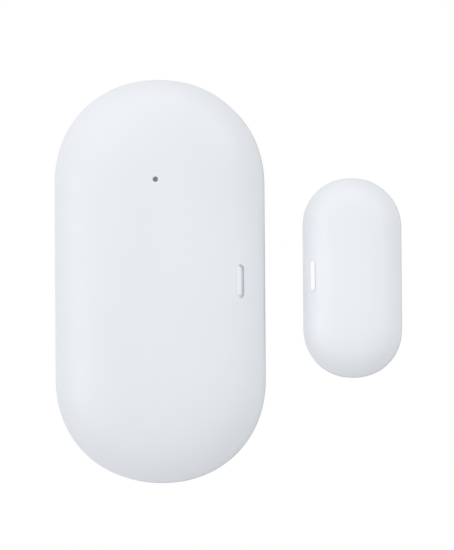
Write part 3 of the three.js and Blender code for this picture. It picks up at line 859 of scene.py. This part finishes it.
def make_tracks():
    """Copper under the mask: flat strips with round edges, and tinned rings at the vias."""
    top, parts = BOARD_TOP, []
    section = rounded_rectangle(0.05, 0.2, 0.02, 3)
    for route, count in TRACKS:
        for index in range(count):
            line = beside(route, 0.42 * (index - (count - 1) / 2))
            path = np.column_stack([line, np.full(len(line), top + 0.01)])
            parts.append(swept(path, section, (0, 0, 1)))
    add_piece("copper_tracks", together(*parts), "track_green")
    ring = [(0.13, top - 0.02), (0.34, top - 0.02), (0.33, top + 0.03), (0.15, top + 0.03)]
    add_piece("via_rings", together(*[turned(ring, x, y, 16, True) for x, y in VIAS]), "solder")


def make_antenna():
    """A leg, then turns of a helix: radius 1.9, pitch 1.3, running along x."""
    radius, turns, pitch, y, z = 1.9, 7, 1.3, 26.6, 8.1
    start = -turns * pitch / 2
    angle = np.pi + np.linspace(0, 2 * np.pi * turns, turns * 28)
    helix = np.stack([start + pitch * (angle - np.pi) / (2 * np.pi), y + radius * np.cos(angle),
                      z - radius * np.sin(angle)], -1)
    leg = np.stack([np.linspace(start - 0.05, start - 0.01, 8), np.full(8, y - radius),
                    np.linspace(ON_BOARD, z - 0.12, 8)], -1)
    add_piece("antenna_winding", wire(np.concatenate([leg, helix]), 0.33, (1, 0, 0)),
              "antenna_wire", ["coil_antenna"])


def make_chips():
    """Blocks with round edges: the chip with its turned dimple, the crystal's can, and small
    parts with a solder end on each side."""
    chip = block(5, 5, ON_BOARD, ON_BOARD + 0.9, 0.15, 0.08, -2.5, 2.6)
    dimple = turned([(THIN, ON_BOARD + 0.88), (0.34, ON_BOARD + 0.88), (0.38, ON_BOARD + 0.91),
                     (0.3, ON_BOARD + 0.93), (THIN, ON_BOARD + 0.905)], -4.3, 4.4, 24)
    add_piece("controller_package", together(chip, dimple), "dark_resin", ["controller_chip"])
    can = [block(3.2, 2.4, ON_BOARD, ON_BOARD + 0.25, 0.3, 0.05, 2.3, 2.8),
           block(2.9, 2.1, ON_BOARD + 0.2, ON_BOARD + 0.8, 0.5, 0.2, 2.3, 2.8)]
    add_piece("timing_crystal", together(*can), "tinned_steel", ["crystal_can"])
    pads = []
    for place in np.linspace(-2.1, 2.1, 8):
        for x, y, wide, long in ((place, 2.6, 0.26, 0.5), (place, -2.6, 0.26, 0.5),
                                 (2.6, place, 0.5, 0.26), (-2.6, place, 0.5, 0.26)):
            pads.append(block(wide, long, BOARD_TOP, 5.44, 0.05, 0.03, -2.5 + x, 2.6 + y))
    for x in np.linspace(-11.4, -2.6, 8):
        pads.append(block(0.7, 0.35, BOARD_TOP, 6.2, 0.05, 0.03, x, 7.65))
    parts = ((6.5, 8.0, 0), (-0.6, 12.6, 1), (-10.2, -1.2, 1), (-6.8, -1.5, 0), (-3.6, -1.2, 1),
             (10.2, 17.5, 1), (5.2, 19.6, 0), (3.4, 21.3, 0), (3.0, 14.2, 1), (-12.2, 12.0, 1),
             (9.4, 6.6, 0), (1.5, 5.2, 0))
    bodies = []
    for x, y, upright in parts:
        order = -1 if upright else 1
        bodies.append(block(*(0.9, 0.78)[::order], 5.32, 5.92, 0.05, 0.04, x, y))
        for reach in (0.6, -0.6):
            across, along = (reach, 0)[::order]
            pads.append(block(*(0.38, 0.8)[::order], BOARD_TOP, 5.95, 0.06, 0.05,
                              x + across, y + along))
    add_piece("passive_bodies", together(*bodies), "ceramic")
    add_piece("solder_ends", together(*pads), "solder")


def make_capacitor():
    """A square foot and a can turned from a profile with a crimped waist."""
    foot = block(4.2, 4.2, ON_BOARD, ON_BOARD + 0.8, 0.6, 0.08, 2.1, 8.4)
    add_piece("capacitor_foot", foot, "black_plastic")
    low, high = ON_BOARD + 0.6, ON_BOARD + 5
    can = rounded_profile([(THIN, low), (1.75, low), (1.9, low + 0.3), (1.9, low + 0.7),
                           (1.72, low + 0.95), (1.9, low + 1.2), (1.9, high - 0.02),
                           (1.55, high), (1.45, high - 0.08), (THIN, high - 0.08)], 0.22)
    add_piece("capacitor_can", turned(can, 2.1, 8.4, 56), "can_aluminium", ["storage_capacitor"])


def make_led():
    """A block and on it a rounder one, narrower at its top, for the lens."""
    y = PINHOLE["centre"][1]
    base = block(1.6, 0.9, ON_BOARD, ON_BOARD + 0.25, 0.08, 0.04, 0, y)
    lens = block(1.05, 0.86, ON_BOARD + 0.2, ON_BOARD + 0.6, 0.2, 0.15, 0, y, 0.05)
    add_piece("indicator_led", together(base, lens), "led_lens", ["status_led"])


def make_reed():
    """A tube turned round y from the closed profile of its glass wall, round wires that bend
    down to the board in a quarter circle, and two flat blades."""
    x, z, half, glass = REED["x"], REED["z"], REED["half"], REED["glass"]
    profile = np.array([(0.45, -half), (0.75, -half + 0.03), (1.0, -half + 0.2),
                        (glass, -half + 0.6), (glass, half - 0.6), (1.0, half - 0.2),
                        (0.75, half - 0.03), (0.45, half),
                        (0.45, half - 1.0), (0.6, half - 1.2), (0.78, half - 1.6),
                        (0.78, 1.6 - half), (0.6, 1.2 - half), (0.45, 1.0 - half)])
    ring = circle(1.0, 40)
    rings = np.stack([np.column_stack([radius * ring[:, 0] + x, np.full(40, along),
                                       -radius * ring[:, 1] + z]) for radius, along in profile])
    add_piece("reed_tube", closed(rings, joined=True), "reed_tube_glass", ["reed_glass"])

    def lead(end, inner):
        turn = np.linspace(0, np.pi / 2, 6)
        bend = 0.5
        reach = REED["lead_half"] - 0.2
        path = np.concatenate([
            np.stack([np.full(6, x), np.linspace(inner, reach - bend, 6),
                      np.full(6, z)], -1)[:-1],
            np.stack([np.full(6, x), reach - bend + bend * np.sin(turn),
                      z - bend + bend * np.cos(turn)], -1),
            [[x, reach, ON_BOARD + 0.2], [x, reach, ON_BOARD - 0.25]],
        ])
        path[:, 1] *= end
        return wire(path, 0.2, (1, 0, 0), 14)

    def blade(side, end, root):
        middle = x + side * 0.13
        path = np.array([(middle, end * along, z) for along in np.linspace(root, -0.8, 10)])
        return swept(path, rounded_rectangle(0.2, 0.9, 0.09, 4), (1, 0, 0))

    add_piece("reed_lead_low", together(lead(-1, 4.3), blade(1, -1, 4.75)), "spring_nickel",
              ["reed_blade_fixed"])
    add_piece("reed_lead_high", lead(1, 5.0), "spring_nickel", ["reed_lead_upper"])
    add_piece("reed_blade_bending", blade(-1, 1, 4.7), "spring_nickel", ["reed_blade_moving"],
              "reed")


def make_switch(name, x, y, size, height, stem, finish, node):
    """A square switch: a case with a stepped top and an opening for its stem, which is
    square with rounded corners. Returns its rivets and feet."""
    top = ON_BOARD + height
    outer = rounded_rectangle(size, size, 0.35, 13)
    spokes = np.linalg.norm(outer, axis=1)[:, None]
    gap = 0.3
    hole = outer / spokes * (stem + gap)
    floor = top - min(1.4, height - 0.3)
    rings = [at_height(outer * share, level) for share, level in (
        (0.5, ON_BOARD), (0.97, ON_BOARD), (1, ON_BOARD + 0.12), (1, top - 0.5),
        (0.985, top - 0.42), (0.95, top - 0.4), (0.94, top - 0.06), (0.92, top))]
    rings += [at_height(hole * share, level) for share, level in (
        (1.06, top), (1, top - 0.08), (1, floor), (0.3, floor))]
    case = moved(closed(rings), x, y)
    add_piece(name, case, finish, [node])
    corners = [(sx, sy) for sx in (1, -1) for sy in (1, -1)]
    rivet = [(THIN, top - 0.05), (0.32, top - 0.05), (0.3, top + 0.06), (0.16, top + 0.1),
             (THIN, top + 0.1)]
    rivets = [turned(rivet, x + sx * size * 0.38, y + sy * size * 0.38, 20)
              for sx, sy in corners]
    feet = [block(0.7, 0.9, BOARD_TOP, 5.75, 0.08, 0.06, x + sx * size * 0.36,
                  y + sy * (size / 2 + 0.3)) for sx, sy in corners]
    return rivets + feet


def make_switches():
    """Both switches, and their stems turned from profiles with rounded corners."""
    small = make_switch("tamper_case", 8, 13, 6, 3.4, 1.5, "black_plastic",
                        "tamper_switch_body")
    small += make_switch("pairing_case", 6.5, 3.5, 4.5, 1.6, 1.1, "tinned_steel",
                         "pairing_switch_body")
    add_piece("switch_feet", together(*small), "solder")
    plunger = rounded_profile([(THIN, 7.6), (1.35, 7.6), (1.5, 7.75), (1.5, 10.0), (1.2, 10.36),
                               (0.6, 10.4), (THIN, 10.4)], 0.2)
    add_piece("tamper_stem", turned(plunger, 8, 13, 40), "button_white", ["tamper_plunger"],
              "tamper")
    button = rounded_profile([(THIN, 6.4), (1.0, 6.4), (1.1, 6.5), (1.1, 7.7), (0.85, 7.95),
                              (0.7, 7.98), (0.4, 7.9), (THIN, 7.88)], 0.15)
    add_piece("pairing_stem", turned(button, 6.5, 3.5, 40), "black_plastic", ["pairing_button"],
              "pairing")


def make_screws():
    """Pan-head screws: the head's dome is cut by a cross-shaped recess, and the shank's
    radius ripples along its length."""
    top, wide = ON_BOARD + 1.3, 1.9
    core, thread, pitch = 0.82, 0.08, 0.7
    shank = [(THIN, 2.9), (0.5, 2.95)]
    shank += [(core + thread * np.cos(2 * np.pi * h / pitch), h)
              for h in np.linspace(3.2, 5.4, 26)]
    head = [(1.75, ON_BOARD), (wide, ON_BOARD + 0.1), (wide, ON_BOARD + 0.5)]
    head += [(wide * np.sin(a), ON_BOARD + 0.5 + (top - ON_BOARD - 0.5) * np.cos(a) ** 0.7)
             for a in np.linspace(1.35, 0.02, 34)]
    for name, (x, y) in SCREWS.items():
        rings = turned_rings(shank + [(0.9, ON_BOARD)] + head, 96)
        across, along, height = rings[..., 0], rings[..., 1], rings[..., 2]
        cross = np.maximum(*[near(a, 0, 0.22, 0.1) * near(b, 0, 1.15, 0.15)
                             for a, b in ((across, along), (along, across))])
        rings[..., 2] = height - 0.75 * cross * (height > ON_BOARD + 0.6)
        add_piece(f"screw_{name}_on_board", moved(closed(rings), x, y), "tinned_steel",
                  [f"board_screw_{name}"])


# -------- battery

def make_cell():
    """A coin cell turned from a profile: a narrow lid below a can with a rolled rim."""
    low = 6.3
    profile = rounded_profile([
        (THIN, low), (10.9, low), (11.05, low + 0.3), (11.4, low + 0.35), (11.8, low + 0.55),
        (12.1, low + 0.75), (12.25, low + 1.1), (12.25, low + 4.7), (11.95, low + 5.0),
        (11.2, low + 5.0), (11.0, low + 4.93), (6.0, low + 4.93), (THIN, low + 4.93)], 0.18)
    add_piece("lithium_cell", turned(profile, *CELL_CENTRE, 120), "cell_steel", ["coin_cell"])


def make_holder():
    """A ring with a floor lip, whose wall drops to the floor at the contact's slot and at the
    finger gap: a profile carried round, with its wall height a function of the angle."""
    steps = 240
    ring = circle(1.0, steps)
    low, lip, high = ON_BOARD, ON_BOARD + 0.4, ON_BOARD + 4
    angle = np.degrees(np.arctan2(ring[:, 1], ring[:, 0]))
    slot = near(angle, 90, 13.5, 1.5)
    finger = near(angle, 139, 17, 1.5)
    wall = high - (high - lip - 0.05) * np.maximum(slot, finger)
    profile = ((7.0, low + 0.08), (7.08, low), (13.7, low), (13.8, low + 0.1),
               (13.8, wall - 0.1), (13.7, wall), (12.75, wall), (12.65, wall - 0.1),
               (12.65, lip), (7.08, lip), (7.0, lip - 0.08))
    rings = [at_height(radius * ring, height) for radius, height in profile]
    keepers = [block(1.6, 1.0, high - 0.5, high + 0.25, 0.3, 0.2, 12.75 * np.cos(a),
                     12.75 * np.sin(a)) for a in np.radians((-20, -90, -160))]
    add_piece("cell_holder", moved(together(closed(rings, joined=True), *keepers), *CELL_CENTRE),
              "black_plastic", ["battery_holder"])


def make_contacts():
    """Two strips: one rises beside the cell, bends over it and ends in a turned dimple, and
    the other lies under the cell with a raised middle."""
    low, arm = ON_BOARD, 11.7
    bends = rounded_profile([(14.7, low + 0.1), (12.98, low + 0.1), (12.98, arm), (3.1, arm)],
                            0.7, 8)
    path = np.column_stack([np.zeros(len(bends)), bends])
    fine = np.linspace(0, 1, 60)
    spaced = np.linspace(0, 1, len(path))
    path = np.stack([np.interp(fine, spaced, path[:, k]) for k in range(3)], -1)
    dimple = turned([(THIN, arm - 0.12), (0.5, arm - 0.1), (0.9, arm + 0.02), (0.7, arm + 0.16),
                     (0.3, arm + 0.12), (THIN, arm + 0.1)], 0, 4.6, 24)
    add_piece("upper_contact", moved(together(strip(path, 5.0, 0.2), dimple), *CELL_CENTRE),
              "spring_nickel", ["battery_contact_plus"])
    along = np.linspace(-5.5, 5.5, 40)
    raised = low + 0.1 + 0.2 * near(along, 0, 1.0, 1.4)
    path = np.stack([np.zeros(40), along, raised], -1)
    add_piece("lower_contact", moved(strip(path, 4.0, 0.2), *CELL_CENTRE), "spring_nickel",
              ["battery_contact_minus"])


def make_magnet():
    """A bar with round corners and edges."""
    add_piece("plated_magnet", block(5, 22, 2.7, 6.7, 0.45, 0.3), "magnet_plating",
              ["bar_magnet"], "magnet_unit", MAGNET)


# -------- the whole scene

make_camera()
make_studio()
make_covers()
make_bases()
make_pads()
make_boards()
make_tracks()
make_antenna()
make_chips()
make_capacitor()
make_led()
make_reed()
make_switches()
make_screws()
make_cell()
make_holder()
make_contacts()
make_magnet()
